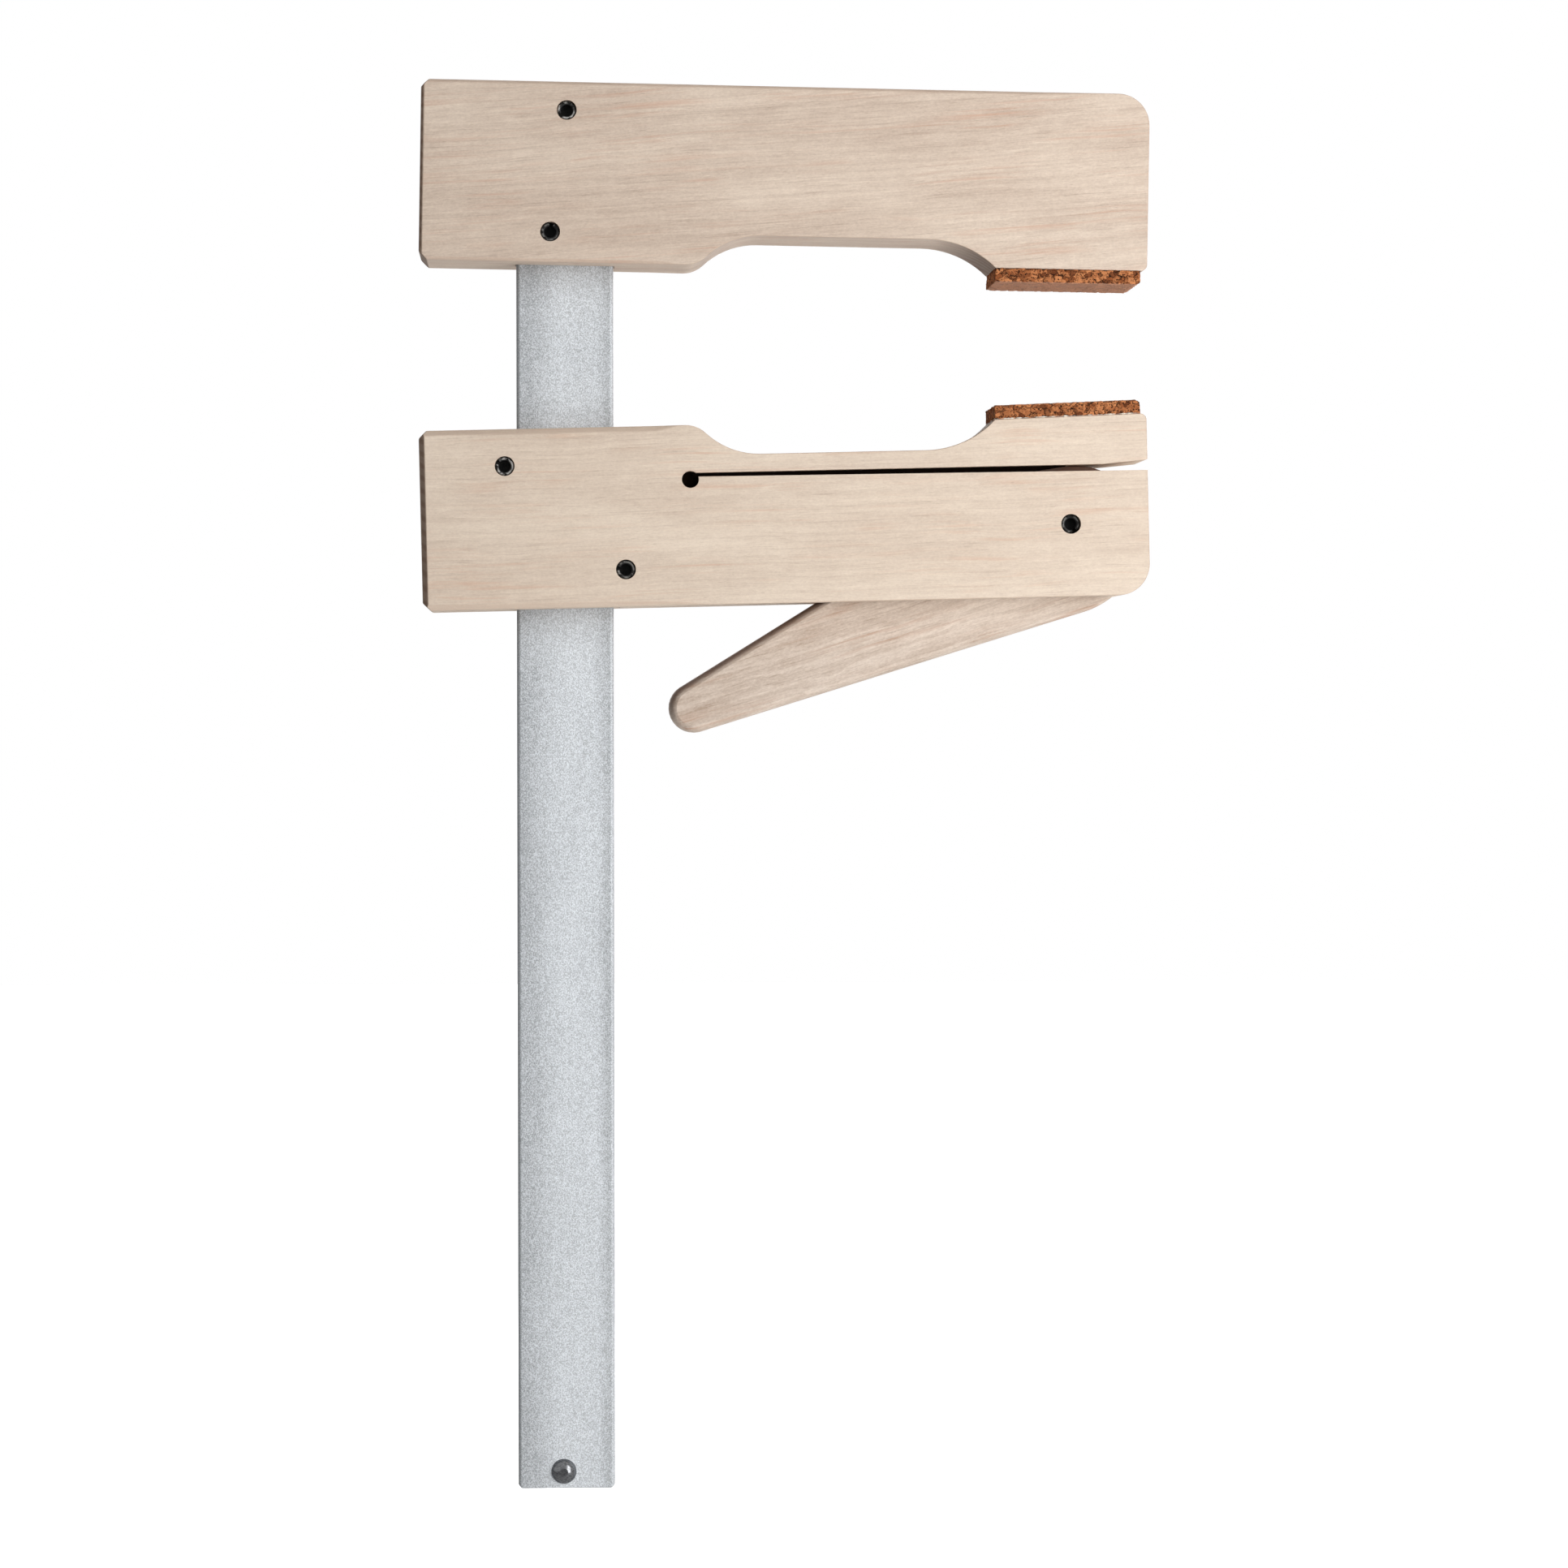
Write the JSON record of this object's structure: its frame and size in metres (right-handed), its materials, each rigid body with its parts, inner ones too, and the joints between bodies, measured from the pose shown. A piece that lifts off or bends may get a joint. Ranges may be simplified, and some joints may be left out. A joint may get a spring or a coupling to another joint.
{
  "type": "wooden cam clamp",
  "caption": "Light bar clamp with wooden jaws and cork facings: the lower jaw slides on a flat steel bar, and a cam on its folding lever lifts a sawn tongue to press the work.",
  "frame": {"origin": "middle of the fixed jaw's cork face, where the clamp meets the work", "axes": "+Z along the bar towards the fixed jaw, +X along the jaws towards their tips, -Y out of the front face"},
  "size_m": [0.1502, 0.022, 0.2901],
  "materials": {
    "zinc_steel": "galvanised flat bar, fine matt zinc grain",
    "rivet_steel": "bright round-head rivet",
    "jaw_wood": "planed pale hardwood, oiled thinly, grain along the jaw",
    "cork": "pressed cork granules",
    "pin_steel": "dark rolled spring steel",
    "lever_wood": "planed pale hardwood, grain along the lever"
  },
  "bodies": {
    "frame": {"bar": "zinc_steel", "stop_rivet": "rivet_steel", "fixed_jaw": "jaw_wood", "fixed_jaw_pin_upper": "pin_steel", "fixed_jaw_pin_lower": "pin_steel", "fixed_cork_facing": "cork"},
    "slider": {"sliding_jaw": "jaw_wood", "guide_pin_rear": "pin_steel", "guide_pin_front": "pin_steel", "cam_pivot_pin": "pin_steel"},
    "tongue": {"jaw_tongue": "jaw_wood", "sliding_cork_facing": "cork"},
    "lever": {"cam_lever": "lever_wood"}
  },
  "joints": [
    {"name": "jaw_slide", "type": "slide", "parent": "frame", "child": "slider", "axis": [0, 0, 1], "range_m": [-0.1756, 0.0189]},
    {"name": "cam_turn", "type": "hinge", "parent": "slider", "child": "lever", "pos_m": [0.00068, 0, -0.04939], "axis": [0, -1, 0], "range_deg": [0, 90]},
    {"name": "tongue_flex", "type": "hinge", "parent": "slider", "child": "tongue", "pos_m": [-0.04619, 0, -0.03645], "axis": [0, -1, 0], "range_deg": [0, 4]}
  ],
  "couplings": [
    {"joint": "tongue_flex", "follows": "cam_turn", "ratio": 0.044444}
  ]
}
